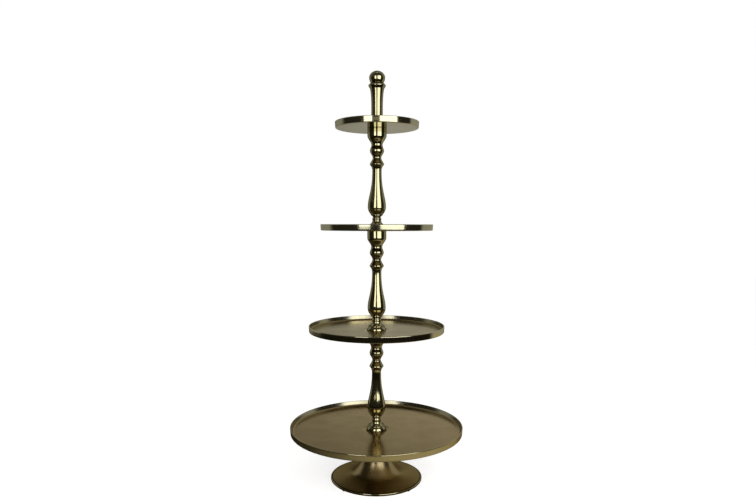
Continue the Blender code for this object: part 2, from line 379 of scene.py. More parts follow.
def toned_brass(name, tone, shade, tarnish, rubbed, roughness, unevenness, waves, rings, edge_tint):
    """A brass finish: two drifting tones, wear, uneven polish, slow waves and lathe rings."""
    finish, tree, shader, place = new_finish(name, metallic=1.0, roughness=roughness)
    clouds = add_node(tree, "ShaderNodeTexNoise", Vector=place, Scale=CLOUD_SCALE, Detail=CLOUD_DETAIL,
                      Roughness=CLOUD_ROUGHNESS).outputs["Fac"]
    wear = add_node(tree, "ShaderNodeAttribute", {"attribute_name": "edge_wear"}).outputs["Fac"]
    colour = blend_tones(tree, span(tree, clouds, *CLOUD_SPAN), (*tone, 1.0), (*shade, 1.0))
    colour = blend_tones(tree, span(tree, wear, *HOLLOW_BENDS), colour, (*tarnish, 1.0))
    colour = blend_tones(tree, span(tree, wear, *EDGE_BENDS), colour, (*rubbed, 1.0))
    polish = span(tree, clouds, *NOISE_SPAN, roughness - unevenness, roughness + unevenness)
    wave = add_node(tree, "ShaderNodeTexNoise", Vector=place, Scale=WAVE_SCALE, Detail=WAVE_DETAIL)
    ring = add_node(tree, "ShaderNodeTexWave", {"wave_type": "RINGS", "rings_direction": "Z"},
                    Vector=place, Scale=RING_SCALE, Distortion=RING_WOBBLE, Detail=RING_DETAIL)
    slow = add_node(tree, "ShaderNodeBump", Height=wave.outputs["Fac"], Strength=1.0, Distance=waves)
    fine = add_node(tree, "ShaderNodeBump", Height=ring.outputs["Fac"], Strength=1.0, Distance=rings,
                    Normal=slow.outputs["Normal"])
    tree.links.new(colour, shader.inputs["Base Color"])
    tree.links.new(polish, shader.inputs["Roughness"])
    tree.links.new(fine.outputs["Normal"], shader.inputs["Normal"])
    shader.inputs["Specular Tint"].default_value = (*edge_tint, 1.0)
    print("finish:", name)
    return finish


print("hollows darken and edges brighten from bends of", HOLLOW_BENDS[0], "and", EDGE_BENDS[0], "a metre")

# %% Bright finishes, for the columns and the outsides of the rims
POLISHED = toned_brass(
    "polished_brass", tone=(0.45, 0.42, 0.25), shade=(0.39, 0.355, 0.20), tarnish=(0.14, 0.115, 0.05),
    rubbed=(0.58, 0.53, 0.34), roughness=0.09, unevenness=0.02, waves=0.20 * MM, rings=0.0,
    edge_tint=(0.32, 0.31, 0.27),
)
RIM = toned_brass(
    "polished_rim", tone=(0.50, 0.475, 0.325), shade=(0.45, 0.425, 0.28), tarnish=(0.14, 0.115, 0.05),
    rubbed=(0.60, 0.55, 0.36), roughness=0.12, unevenness=0.03, waves=0.06 * MM, rings=0.0,
    edge_tint=(0.85, 0.83, 0.72),
)
TONED_RIM = toned_brass(
    "toned_rim", tone=(0.475, 0.43, 0.25), shade=(0.43, 0.385, 0.215), tarnish=(0.14, 0.115, 0.05),
    rubbed=(0.60, 0.54, 0.33), roughness=0.12, unevenness=0.03, waves=0.06 * MM, rings=0.0,
    edge_tint=(0.50, 0.46, 0.36),
)

# %% Satin finishes, for floors, insides of rims and undersides
SATIN = toned_brass(
    "satin_brass", tone=(0.52, 0.425, 0.25), shade=(0.47, 0.375, 0.21), tarnish=(0.22, 0.17, 0.08),
    rubbed=(0.60, 0.52, 0.31), roughness=0.21, unevenness=0.03, waves=0.05 * MM, rings=0.002 * MM,
    edge_tint=(0.98, 0.96, 0.85),
)
TONED_FLOOR = toned_brass(
    "toned_floor", tone=(0.50, 0.39, 0.22), shade=(0.45, 0.345, 0.185), tarnish=(0.22, 0.17, 0.08),
    rubbed=(0.60, 0.50, 0.29), roughness=0.21, unevenness=0.03, waves=0.05 * MM, rings=0.002 * MM,
    edge_tint=(0.85, 0.80, 0.69),
)
BRUSHED = toned_brass(
    "brushed_wall", tone=(0.42, 0.395, 0.275), shade=(0.38, 0.355, 0.24), tarnish=(0.22, 0.18, 0.08),
    rubbed=(0.56, 0.52, 0.36), roughness=0.19, unevenness=0.03, waves=0.05 * MM, rings=0.002 * MM,
    edge_tint=(0.70, 0.69, 0.60),
)
UNDERSIDE = toned_brass(
    "underside_brass", tone=(0.50, 0.43, 0.26), shade=(0.45, 0.38, 0.22), tarnish=(0.22, 0.18, 0.08),
    rubbed=(0.60, 0.53, 0.33), roughness=0.15, unevenness=0.03, waves=0.05 * MM, rings=0.001 * MM,
    edge_tint=(0.90, 0.89, 0.82),
)

# %% Dark finishes: the foot's own, and painted shade for the lines at its edge
BRONZED = toned_brass(
    "bronzed_foot", tone=(0.49, 0.395, 0.215), shade=(0.435, 0.34, 0.18), tarnish=(0.20, 0.15, 0.07),
    rubbed=(0.52, 0.45, 0.26), roughness=0.30, unevenness=0.03, waves=0.025 * MM, rings=0.001 * MM,
    edge_tint=(0.50, 0.43, 0.31),
)
# This near-black finish is painted shade: it paints the dark lines along the foot's base edge, where the edge
# mirrors the shaded floor round the foot.
PAINTED_SHADE_EDGE = toned_brass(
    "painted_shade_edge", tone=(0.05, 0.040, 0.020), shade=(0.035, 0.028, 0.014), tarnish=(0.02, 0.016, 0.008),
    rubbed=(0.08, 0.065, 0.035), roughness=0.30, unevenness=0.04, waves=0.06 * MM, rings=0.0,
    edge_tint=(0.60, 0.58, 0.50),
)

# %% [markdown]
# ## The small things that hold it together
#
# Zinc-plated steel for the studs, black rubber for the washers and brown felt for the pads. They hardly show
# while the stand is screwed together, but they do when a column is unscrewed or the stand is tipped over, so
# each has the grain of its own material: a speckle of zinc crystals, a matte skin with a fine pitting, and
# loose fibres with a soft sheen.

# %% Steel, rubber and felt
GRAIN_DETAIL, GRAIN_ROUGHNESS = 6.0, 0.7
GRAIN_UNEVENNESS = 0.06
FELT_SHEEN = 0.4


def plain_finish(name, metallic, roughness, tone, shade, scale, relief):
    """One tone that drifts to another with a fine grain, which also stands up as a bump."""
    finish, tree, shader, place = new_finish(name, metallic, roughness)
    grain = add_node(tree, "ShaderNodeTexNoise", Vector=place, Scale=scale, Detail=GRAIN_DETAIL,
                     Roughness=GRAIN_ROUGHNESS).outputs["Fac"]
    colour = blend_tones(tree, span(tree, grain, *NOISE_SPAN), (*tone, 1.0), (*shade, 1.0))
    polish = span(tree, grain, *NOISE_SPAN, roughness - GRAIN_UNEVENNESS, roughness + GRAIN_UNEVENNESS)
    bump = add_node(tree, "ShaderNodeBump", Height=grain, Strength=1.0, Distance=relief)
    tree.links.new(colour, shader.inputs["Base Color"])
    tree.links.new(polish, shader.inputs["Roughness"])
    tree.links.new(bump.outputs["Normal"], shader.inputs["Normal"])
    print("finish:", name)
    return finish, shader


ZINC, _ = plain_finish(
    "plated_steel", metallic=1.0, roughness=0.30, tone=(0.56, 0.56, 0.54), shade=(0.44, 0.45, 0.46),
    scale=900.0, relief=0.01 * MM,
)
RUBBER, _ = plain_finish(
    "black_rubber", metallic=0.0, roughness=0.72, tone=(0.018, 0.018, 0.018), shade=(0.032, 0.031, 0.030),
    scale=1400.0, relief=0.02 * MM,
)
FELT, felt_shader = plain_finish(
    "brown_felt", metallic=0.0, roughness=0.92, tone=(0.075, 0.052, 0.032), shade=(0.045, 0.030, 0.018),
    scale=2600.0, relief=0.15 * MM,
)
felt_shader.inputs["Sheen Weight"].default_value = FELT_SHEEN

# %% [markdown]
# ## Trays
#
# Each tray is a spun disc with a low rim that leans out. Its outline goes from the centre hole over the
# shallow seat for the column's flange, across the satin floor, round a wide cove, up the brushed inside of
# the rim, over its rounded lip, down the polished outside, which flares a little, and back along the
# underside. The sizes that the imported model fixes, radius and level, are read from it. Its rims are upright,
# but in the photograph each floor seems to end sooner than it would inside an upright rim, so these lean out
# by a few millimetres.

# %% Tray outline
TRAY_HEIGHT = 14.4 * MM
TRAY_FLOOR = 3.2 * MM
TRAY_SEAT = 2.8 * MM
RIM_WALL = 2.4 * MM
COVE_REACH, COVE_RISE = 5.0 * MM, 4.0 * MM
RIM_FLARE = 1.0 * MM
LIP_INSIDE, LIP_OUTSIDE = 0.6 * MM, 1.5 * MM
TRAY_EDGE = 1.4 * MM
TRAY_HOLE = 5.8 * MM
SEAT_BEVEL = 0.25 * MM
FLOOR_RINGS = 14


def tray_outline(radius, seat_radius, lean, floor_finish, rim_finish):
    """Stretches of a tray, from its hole over floor, rim and underside."""
    lip_inside = (radius - RIM_WALL, TRAY_HEIGHT)
    lip_outside = (radius, TRAY_HEIGHT)
    corner = (lip_inside[0] - lean, TRAY_FLOOR)
    cove_start = (corner[0] - COVE_REACH, TRAY_FLOOR)
    cove_end = between(corner, lip_inside, COVE_RISE / TRAY_HEIGHT, COVE_RISE / TRAY_HEIGHT)
    inner_lip = soften(corner, lip_inside, lip_outside, LIP_INSIDE)
    outer_foot = (radius - RIM_FLARE, 0.0)
    outer_lip = soften(lip_inside, lip_outside, outer_foot, LIP_OUTSIDE)
    hole_top, hole_foot = (TRAY_HOLE, TRAY_SEAT), (TRAY_HOLE, 0.0)
    seat_lip = (seat_radius - SEAT_BEVEL, TRAY_SEAT)
    floor_start = (seat_radius + SEAT_BEVEL, TRAY_FLOOR)
    under = soften(lip_outside, outer_foot, hole_foot, TRAY_EDGE)
    return [
        (floor_finish, [hole_top, *straight(hole_top, seat_lip, 3), floor_start]),
        (floor_finish, straight(floor_start, cove_start, FLOOR_RINGS)),
        (floor_finish, round_corner(cove_start, corner, cove_end, 8)),
        (BRUSHED, [*straight(cove_end, inner_lip[0], 5), *inner_lip[1:]]),
        (floor_finish, outer_lip[:1]),
        (rim_finish, outer_lip[1:]),
        (rim_finish, [*straight(outer_lip[-1], under[0], 4), *under[1:]]),
        (UNDERSIDE, straight(under[-1], hole_foot, FLOOR_RINGS)),
    ]


print("a tray's rim stands", round((TRAY_HEIGHT - TRAY_FLOOR) / MM, 1), "mm over its floor")

# %% Turn the four trays
TRAY_STEPS = 224
SEAT_CLEARANCE = 0.5 * MM
FLANGE_RADIUS = 22.7 * MM
FINIAL_FLANGE_RADIUS = 20.0 * MM
# body that carries it, flange that stands on it, lean of its rim, and the finishes of floor and rim
TRAYS = (
    ("base", FLANGE_RADIUS, 3.6 * MM, TONED_FLOOR, TONED_RIM),
    ("column_1", FLANGE_RADIUS, 1.9 * MM, SATIN, RIM),
    ("column_2", FLANGE_RADIUS, 1.6 * MM, SATIN, RIM),
    ("column_3", FINIAL_FLANGE_RADIUS, 1.6 * MM, SATIN, RIM),
)

for number, (body, flange, lean, floor_finish, rim_finish) in enumerate(TRAYS, start=1):
    low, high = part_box(f"tray_{number}")
    outline = tray_outline(high.x, flange + SEAT_CLEARANCE, lean, floor_finish, rim_finish)
    tray = turn_piece(f"brass_tray_{number}", outline, TRAY_STEPS, low.z)
    dress(tray, f"tray_{number}", body)

# %% [markdown]
# ## Columns
#
# The three columns are one design: a cup that carries the tray above, a round bead, a sharper knop, a long
# vase, a small ring, a neck with a collaret, and a ledge over a flange that slopes out. This is the piece
# where the turner's skill shows, and its hollows have to run into the beads without a flat. Heights are
# counted down from the cup and up from the flange, so each length belongs to one part of the outline, and
# the long vase takes up what is left.

# %% Column sizes
CUP_RADIUS, CUP_WALL, CUP_SWEEP, CUP_EDGE = 22.5 * MM, 17.2 * MM, 21.3 * MM, 0.5 * MM
WAIST_RADIUS = 13.1 * MM
BEAD_RADIUS, BEAD_RISE, BEAD_FALL = 16.6 * MM, 13.9 * MM, 16.3 * MM
THROAT_RADIUS = 10.1 * MM
KNOP_RADIUS, KNOP_RISE, KNOP_EDGE, KNOP_COVE = 16.7 * MM, 14.3 * MM, 1.7 * MM, 14.5 * MM
KNOP_BULGE = KNOP_EDGE / 8
SHAFT_RADIUS = 11.0 * MM
VASE_RADIUS, VASE_ROUND = 21.45 * MM, 17.9 * MM
RING_RADIUS, RING_HEIGHT, RING_STEP = 14.2 * MM, 1.9 * MM, 0.5 * MM
NECK_RADIUS, NECK_COVE = 9.4 * MM, 3.6 * MM
COLLARET_RADIUS, COLLARET_RISE, COLLARET_FALL = 11.0 * MM, 4.9 * MM, 2.7 * MM
FLARE_RADIUS, FLARE_HEIGHT = 10.2 * MM, 10.4 * MM
LEDGE_RADIUS, LEDGE_HEIGHT, LEDGE_BULGE = 18.5 * MM, 2.2 * MM, 1.1 * MM
FLANGE_HEIGHT, FLANGE_SLOPE, FLANGE_EDGE, FLANGE_CHAMFER = 8.2 * MM, 3.8 * MM, 0.9 * MM, 0.5 * MM
# the pulls of its sweeps, as shares of the way across and along
KNOP_COVE_PULLS = ((0.46, 0.20), (1.0, 0.42))
VASE_FOOT_PULLS = ((0.0, 0.44), (0.58, 0.80))
NECK_COVE_PULLS = ((0.7, 0.3), (1.0, 0.6))
FLARE_PULLS = ((0.0, 0.40), (0.45, 0.90))
FLANGE_PULLS = ((0.54, 0.33), (0.87, 0.67))
print("column flange is", round(2000 * FLANGE_RADIUS, 1), "mm across")

# %% [markdown]
# The flange of a column and that of the finial are alike: a face that slopes out, and under it a recess for
# the washer round the hole that holds the stud.

# %% Flange and socket
HOLE_RADIUS, HOLE_DEPTH = 5.3 * MM, 20.0 * MM
RECESS_RADIUS, RECESS_DEPTH = 11.4 * MM, 1.3 * MM
STUD_CEILING = 20.3 * MM


def socket_outline(rim_radius):
    """Underside of a column or the finial: the washer's recess and the hole that holds the stud."""
    return [
        *straight((rim_radius, 0.0), (RECESS_RADIUS, 0.0), 3),
        (RECESS_RADIUS, RECESS_DEPTH),
        (HOLE_RADIUS, RECESS_DEPTH),
        (HOLE_RADIUS, STUD_CEILING),
        (0.0, STUD_CEILING),
    ]


def flange_outline(radius, height):
    """A flange whose face slopes out, from its top down to its lower edge, and the socket under it."""
    top, low = (radius - FLANGE_SLOPE, height), (radius, FLANGE_EDGE)
    foot = (radius - FLANGE_CHAMFER, 0.0)
    return [top, *shaped(top, low, FLANGE_PULLS, 12), foot, *socket_outline(foot[0])]


print("a flange with its socket has", len(flange_outline(FLANGE_RADIUS, FLANGE_HEIGHT)), "points")


# %% Column outline
def column_outline(height):
    """Stretches of a column, from the tapped hole in its cup down to the socket in its flange."""
    cup_top = (CUP_RADIUS, height)
    cup_end = (CUP_RADIUS, height - CUP_WALL)
    waist = (WAIST_RADIUS, cup_end[1] - CUP_SWEEP)
    round_bead = (BEAD_RADIUS, waist[1] - BEAD_RISE)
    throat = (THROAT_RADIUS, round_bead[1] - BEAD_FALL)
    knop_top = (KNOP_RADIUS, throat[1] - KNOP_RISE)
    knop = (KNOP_RADIUS, knop_top[1] - KNOP_EDGE)
    shaft = (SHAFT_RADIUS, knop[1] - KNOP_COVE)
    ledge_foot = (LEDGE_RADIUS, FLANGE_HEIGHT)
    ledge_top = (LEDGE_RADIUS, FLANGE_HEIGHT + LEDGE_HEIGHT)
    flare = (FLARE_RADIUS, ledge_top[1] + FLARE_HEIGHT)
    collaret = (COLLARET_RADIUS, flare[1] + COLLARET_FALL)
    neck = (NECK_RADIUS, collaret[1] + COLLARET_RISE)
    ring_foot = (RING_RADIUS - RING_STEP, neck[1] + NECK_COVE)
    ring_top = (RING_RADIUS - RING_STEP, ring_foot[1] + RING_HEIGHT)
    vase = (VASE_RADIUS, ring_top[1] + VASE_ROUND)
    hole_foot = (HOLE_RADIUS, height - HOLE_DEPTH)
    hole_edge = (HOLE_RADIUS, height)
    points = [
        (0.0, hole_foot[1]),
        hole_foot,
        *soften(hole_foot, hole_edge, cup_top, CUP_EDGE),
        *soften(hole_edge, cup_top, cup_end, CUP_EDGE),
        *straight((CUP_RADIUS, height - CUP_EDGE), cup_end, 4),
        *swell(cup_end, waist, count=20),
        *swell(waist, round_bead),
        *swell(round_bead, throat),
        *swell(throat, knop_top, lead=0.25, trail=0.12),
        *bead(knop_top, knop, KNOP_BULGE, count=4),
        *shaped(knop, shaft, KNOP_COVE_PULLS),
        *swell(shaft, vase, lead=0.56, trail=0.28, count=28),
        *shaped(vase, ring_top, VASE_FOOT_PULLS),
        *bead(ring_top, ring_foot, RING_STEP, count=8),
        *shaped(ring_foot, neck, NECK_COVE_PULLS, 8),
        *swell(neck, collaret, count=10),
        *swell(collaret, flare, count=8),
        *shaped(flare, ledge_top, FLARE_PULLS),
        *bead(ledge_top, ledge_foot, LEDGE_BULGE, count=10),
        *flange_outline(FLANGE_RADIUS, FLANGE_HEIGHT - FLANGE_CHAMFER),
    ]
    return [(POLISHED, points)]


low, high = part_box("column_1")
print("a column's outline has", len(column_outline(high.z - low.z)[0][1]), "points")

# %% Turn the three columns
COLUMN_STEPS = 96

for number in (1, 2, 3):
    low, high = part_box(f"column_{number}")
    column = turn_piece(f"brass_column_{number}", column_outline(high.z - low.z), COLUMN_STEPS, low.z)
    dress(column, f"column_{number}", f"column_{number}")

# %% [markdown]
# ## The handle with its ball
#
# The finial is the carrying handle: a grip that flares a little towards the top, a rounded collar, a groove,
# and a ball that is slightly flattened. It is one turned piece in the same polish as the columns.

# %% Finial outline
GRIP_RADIUS, GRIP_LENGTH, GRIP_FLARE_RADIUS = 13.5 * MM, 57.8 * MM, 16.8 * MM
FINIAL_FLANGE_HEIGHT, FINIAL_SWEEP = 6.4 * MM, 25.0 * MM
COLLAR_RADIUS, COLLAR_HEIGHT, COLLAR_ROUND = 21.2 * MM, 13.3 * MM, 2.4 * MM
GROOVE_RADIUS = 14.9 * MM
BALL_RADIUS, BALL_UNDERSIDE, BALL_CROWN = 18.7 * MM, 11.4 * MM, 16.2 * MM
CROWN_ROWS = 20
BALL_PULLS = ((0.0, 0.5), (0.7, 0.9))
GRIP_PULLS = ((1.0, 0.22), (1.0, 0.60))
GRIP_FOOT_PULLS = ((0.0, 0.7), (0.0, 0.9))


def finial_outline():
    """Stretches of the finial, from the crown of the ball down to the socket in its flange."""
    flange_top = (FINIAL_FLANGE_RADIUS - FLANGE_SLOPE, FINIAL_FLANGE_HEIGHT)
    grip_foot = (GRIP_RADIUS, flange_top[1] + FINIAL_SWEEP)
    grip_top = (GRIP_FLARE_RADIUS, grip_foot[1] + GRIP_LENGTH)
    groove = (GROOVE_RADIUS, grip_top[1] + COLLAR_HEIGHT)
    widest = (BALL_RADIUS, groove[1] + BALL_UNDERSIDE)
    collar = (COLLAR_RADIUS, (groove[1] + grip_top[1]) / 2)
    turns = [pi / 2 * row / CROWN_ROWS for row in range(CROWN_ROWS)]
    points = [
        *[(BALL_RADIUS * sin(turn), widest[1] + BALL_CROWN * cos(turn)) for turn in turns],
        widest,
        *shaped(widest, groove, BALL_PULLS),
        *soften(groove, collar, grip_top, COLLAR_ROUND, count=8),
        grip_top,
        *shaped(grip_top, grip_foot, GRIP_PULLS, 24),
        *shaped(grip_foot, flange_top, GRIP_FOOT_PULLS, 18),
        *flange_outline(FINIAL_FLANGE_RADIUS, FINIAL_FLANGE_HEIGHT)[1:],
    ]
    return [(POLISHED, points)]


low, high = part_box("finial")
finial = turn_piece("brass_finial", finial_outline(), COLUMN_STEPS, low.z)
dress(finial, "finial", "finial")

# %% [markdown]
# ## The foot
#
# The foot is a hollow trumpet. Its top, hidden by the bottom tray, spreads into a plate with the tapped boss
# under it. Below the narrow neck it widens almost like a cone down to a soft knee, and from there the skirt
# runs out nearly level to a thick base edge. In the photograph two pale ridges run down beside the neck and
# bend outwards: they show where the cone faces the sides, so the outline was drawn from their course. The
# edge is rubbed bright between two near-black lines of painted shade, which stand for the shaded floor that
# the edge mirrors. Inside, the casting follows the skirt. The foot is darker than the rest, and only half
# polished.

# %% Foot outline
FOOT_HEIGHT, FOOT_RADIUS = 114.6 * MM, 108.6 * MM
BASE_EDGE, BASE_RING, BASE_ROUND = 5.0 * MM, 10.0 * MM, 1.6 * MM
FOOT_NECK_RADIUS, FOOT_NECK_DROP = 29.0 * MM, 30.0 * MM
FOOT_TOP_RADIUS, FOOT_TOP_EDGE = 40.0 * MM, 5.0 * MM
KNEE_RADIUS, KNEE_HEIGHT = 45.5 * MM, 26.5 * MM
KNEE_REACH, KNEE_FALL = 14.5 * MM, 13.7 * MM
FOOT_WALL, BOSS_DEPTH = 8.0 * MM, 24.0 * MM
SHOULDER_PULLS = ((0.9, 0.2), (1.0, 0.45))
CONE_PULLS = ((0.0, 0.42), (0.36, 0.76))
KNEE_PULLS = ((0.26, 0.4), (0.586, 0.84))
SKIRT_PULLS = ((0.247, 0.56), (0.617, 0.718))
HOLLOW_LEAD, HOLLOW_TRAIL = 0.63, 0.86


def foot_outline():
    """Stretches of the foot: top plate, skirt, base edge, hollow and boss."""
    top_edge = (FOOT_TOP_RADIUS, FOOT_HEIGHT)
    hole_top = (HOLE_RADIUS, FOOT_HEIGHT)
    shoulder = (FOOT_TOP_RADIUS, FOOT_HEIGHT - FOOT_TOP_EDGE)
    neck = (FOOT_NECK_RADIUS, FOOT_HEIGHT - FOOT_NECK_DROP)
    knee = (KNEE_RADIUS, KNEE_HEIGHT)
    knee_foot = (KNEE_RADIUS + KNEE_REACH, KNEE_HEIGHT - KNEE_FALL)
    base = (FOOT_RADIUS, BASE_EDGE)
    base_foot = (FOOT_RADIUS, 0.0)
    hollow_top = (FOOT_NECK_RADIUS - FOOT_WALL, FOOT_HEIGHT - BOSS_DEPTH)
    hollow_base = (FOOT_RADIUS - BASE_RING, 0.0)
    hollow = [hollow_top, *trumpet(hollow_top, hollow_base, HOLLOW_LEAD, HOLLOW_TRAIL, 24)]
    skirt = [
        *shaped(neck, knee, CONE_PULLS, 20),
        *shaped(knee, knee_foot, KNEE_PULLS, 16),
        *shaped(knee_foot, base, SKIRT_PULLS, 24),
    ]
    return [
        (BRONZED, [hole_top, *soften(hole_top, top_edge, shoulder, BASE_ROUND), shoulder]),
        (BRONZED, shaped(shoulder, neck, SHOULDER_PULLS)),
        (BRONZED, skirt[:-2]),
        # painted shade: a near-black ring at the outer end of the skirt
        (PAINTED_SHADE_EDGE, skirt[-2:-1]),
        (POLISHED, soften(skirt[-2], base, base_foot, BASE_ROUND)),
        # painted shade: the lower rounding of the base edge is painted near-black
        (PAINTED_SHADE_EDGE, soften(base, base_foot, hollow_base, BASE_ROUND)),
        (BRONZED, [*reversed(hollow), (HOLE_RADIUS, hollow_top[1])]),
    ]


print("the foot's outline has", sum(len(points) for _, points in foot_outline()), "points")

# %% Turn the foot
FOOT_STEPS = 192

low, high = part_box("foot")
foot = turn_piece("bronzed_foot", foot_outline(), FOOT_STEPS, low.z)
dress(foot, "foot", "base")

# %% [markdown]
# ## Threaded studs
#
# A column unscrews from the piece below, and then its stud shows: an M10 thread with a pitch of 1.5 mm. A
# thread could be a ridge wound round a rod, but two shells that cut into each other make a poor mesh. Here
# the stud is again a stack of rings, and each point's radius follows the height of the thread at its own
# angle, so the helix is part of one closed skin. The thread runs out smoothly at both ends.

# %% The height of a thread
THREAD_PITCH, THREAD_DEPTH = 1.5 * MM, 0.85 * MM
RUN_OUT = 1.5 * MM
CREST_LIFT, FLANK_SLOPE = 1.35, 3.6


def ramp(value, low, high):
    """0 below low, 1 above high, and an even rise in between."""
    return min(max((value - low) / (high - low), 0.0), 1.0)


def thread_radius(crest, angle, height, bottom, top):
    """Radius of the thread at an angle and height, with flat crests and roots, run out at both ends."""
    phase = (height / THREAD_PITCH - angle / (2 * pi)) % 1.0
    ridge = ramp(CREST_LIFT - FLANK_SLOPE * abs(phase - 0.5), 0.0, 1.0)
    fade = ramp(min(height - bottom, top - height), 0.0, RUN_OUT)
    return crest - THREAD_DEPTH * (1.0 - ridge * fade)


print("the thread is", round(THREAD_DEPTH / MM, 2), "mm deep")

# %% Studs with a helical thread
RINGS_A_PITCH = 10
STUD_STEPS = 36


def turn_stud(name, crest, bottom, top):
    """A closed threaded rod between two levels."""
    count = round((top - bottom) / THREAD_PITCH * RINGS_A_PITCH)
    angles = [2 * pi * index / STUD_STEPS for index in range(STUD_STEPS)]
    places = [(0.0, 0.0, top)]
    for row in range(count + 1):
        height = top - (top - bottom) * row / count
        for angle in angles:
            radius = thread_radius(crest, angle, height, bottom, top)
            places.append((radius * cos(angle), radius * sin(angle), height))
    places.append((0.0, 0.0, bottom))
    rows = [[1 + row * STUD_STEPS + index for index in range(STUD_STEPS)] for row in range(count + 1)]
    faces = [(0, rows[0][index - 1], rows[0][index]) for index in range(STUD_STEPS)]
    for above, below in pairwise(rows):
        faces += [(above[k - 1], below[k - 1], below[k], above[k]) for k in range(STUD_STEPS)]
    faces += [(len(places) - 1, rows[-1][index], rows[-1][index - 1]) for index in range(STUD_STEPS)]
    mesh = new_mesh(name, places, faces, [ZINC])
    smooth(mesh)
    return place_mesh(name, mesh)


for number, body in enumerate(("column_1", "column_2", "column_3", "finial"), start=1):
    low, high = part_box(f"stud_{number}")
    stud = turn_stud(f"threaded_stud_{number}", high.x, low.z, high.z)
    dress(stud, f"stud_{number}", body)

# %% [markdown]
# ## Washers and felt pads
#
# A soft washer sits in a recess under each column, so that the flange doesn't mark the tray. The foot stands
# on four felt discs. Both are turned like the rest, with rounded edges; the felt is then roughened point by
# point, because its cut edge is loose.

# %% Washers
WASHER_THICKNESS = 1.0 * MM
WASHER_ROUND = 0.25 * MM
WASHER_STEPS = 72

for number in range(1, 5):
    low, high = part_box(f"washer_{number}")
    bore_top, rim_top = (TRAY_HOLE, WASHER_THICKNESS), (high.x, WASHER_THICKNESS)
    rim_foot, bore_foot = (high.x, 0.0), (TRAY_HOLE, 0.0)
    outline = [
        *soften(bore_foot, bore_top, rim_top, WASHER_ROUND),
        *soften(bore_top, rim_top, rim_foot, WASHER_ROUND),
        *soften(rim_top, rim_foot, bore_foot, WASHER_ROUND),
        *soften(rim_foot, bore_foot, bore_top, WASHER_ROUND),
    ]
    washer = turn_piece(f"rubber_washer_{number}", [(RUBBER, outline)], WASHER_STEPS, low.z)
    dress(washer, f"washer_{number}", f"washer_{number}")

# %% Felt pads
import random

FELT_ROUND = 0.4 * MM
FELT_LOOSE = 0.06 * MM
FELT_STEPS = 56
FELT_RINGS = 6
FELT_SEED = 7
loose = random.Random(FELT_SEED)

for number in range(1, 5):
    low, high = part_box(f"felt_pad_{number}")
    centre = (low + high) / 2
    radius = (high.x - low.x) / 2 - FELT_LOOSE
    thickness = high.z - low.z - FELT_LOOSE
    rim_top, rim_foot = (radius, thickness), (radius, FELT_LOOSE)
    rounded_top = soften((0.0, thickness), rim_top, rim_foot, FELT_ROUND)
    rounded_foot = soften(rim_top, rim_foot, (0.0, FELT_LOOSE), FELT_ROUND)
    outline = [
        (0.0, thickness),
        *straight((0.0, thickness), rounded_top[0], FELT_RINGS),
        *rounded_top[1:],
        *rounded_foot,
        *straight(rounded_foot[-1], (0.0, FELT_LOOSE), FELT_RINGS),
    ]
    pad = turn_piece(f"felt_disc_{number}", [(FELT, outline)], FELT_STEPS, low.z)
    for point in pad.data.vertices:
        drift = Vector(loose.uniform(-FELT_LOOSE, FELT_LOOSE) for _ in range(3))
        point.co += drift + Vector((centre.x, centre.y, 0.0))
    dress(pad, f"felt_pad_{number}", "base")

# %% [markdown]
# ## The studio
#
# Polished metal has hardly any look of its own: it shows what stands round it. In the photograph the columns
# and rims show two pale stripes, one narrow and one wide, with a thin dark line between them, and dark
# flanks. So there were two evenly bright softboxes, left and right of the camera, in a dark room, and a
# bright backdrop behind the stand. Where a stripe lies on a round column tells the direction of its softbox:
# it stands at twice the angle at which the surface faces away from the camera.

# %% Softboxes
# watts for each square metre
SOFTBOX_POWER = 8.6
SOFTBOX_DISTANCE = 1.40
# name, azimuth of its middle, width, bottom and top
SOFTBOXES = (("softbox_left", -23.0, 0.52, 0.42, 1.45), ("softbox_right", 30.5, 1.20, 0.37, 1.55))


def around(azimuth, distance, height):
    """A place round the stand: azimuth 0 is the camera's side, and positive azimuths are to its right."""
    angle = radians(azimuth)
    return Vector((distance * sin(angle), -distance * cos(angle), height))


for name, azimuth, width, bottom, top in SOFTBOXES:
    lamp = bpy.data.lights.new(name, "AREA")
    lamp.shape = "RECTANGLE"
    lamp.size, lamp.size_y = width, top - bottom
    lamp.energy = lamp.size * lamp.size_y * SOFTBOX_POWER
    softbox = bpy.data.objects.new(name, lamp)
    softbox.location = around(azimuth, SOFTBOX_DISTANCE, (bottom + top) / 2)
    softbox.rotation_euler = (pi / 2, 0.0, radians(azimuth))
    softbox.visible_camera = False
    bpy.context.scene.collection.objects.link(softbox)
    print(name, "gives", round(lamp.energy, 1), "W")

# %% [markdown]
# The rest of the studio is made of curved screens. Only reflections can see them, so they give no light to
# the stand and block no view. A real studio does the same with black cloths and white boards. Each point of a
# screen keeps a share, and the colour goes from dark to pale with it, so one screen can change softly from
# place to place.

# %% A screen that only reflections see
SCREEN_STEPS = 120


def glow(name, dark, pale):
    """A stage material that shows its own colour, from dark to pale with the share kept on each point."""
    material = bpy.data.materials.new(name)
    material.use_nodes = True
    tree = material.node_tree
    tree.nodes.clear()
    share = add_node(tree, "ShaderNodeAttribute", {"attribute_name": "pale_share"}).outputs["Fac"]
    colour = blend_tones(tree, share, (*dark, 1.0), (*pale, 1.0))
    light = add_node(tree, "ShaderNodeEmission", Color=colour, Strength=1.0)
    add_node(tree, "ShaderNodeOutputMaterial", Surface=light.outputs["Emission"])
    return material


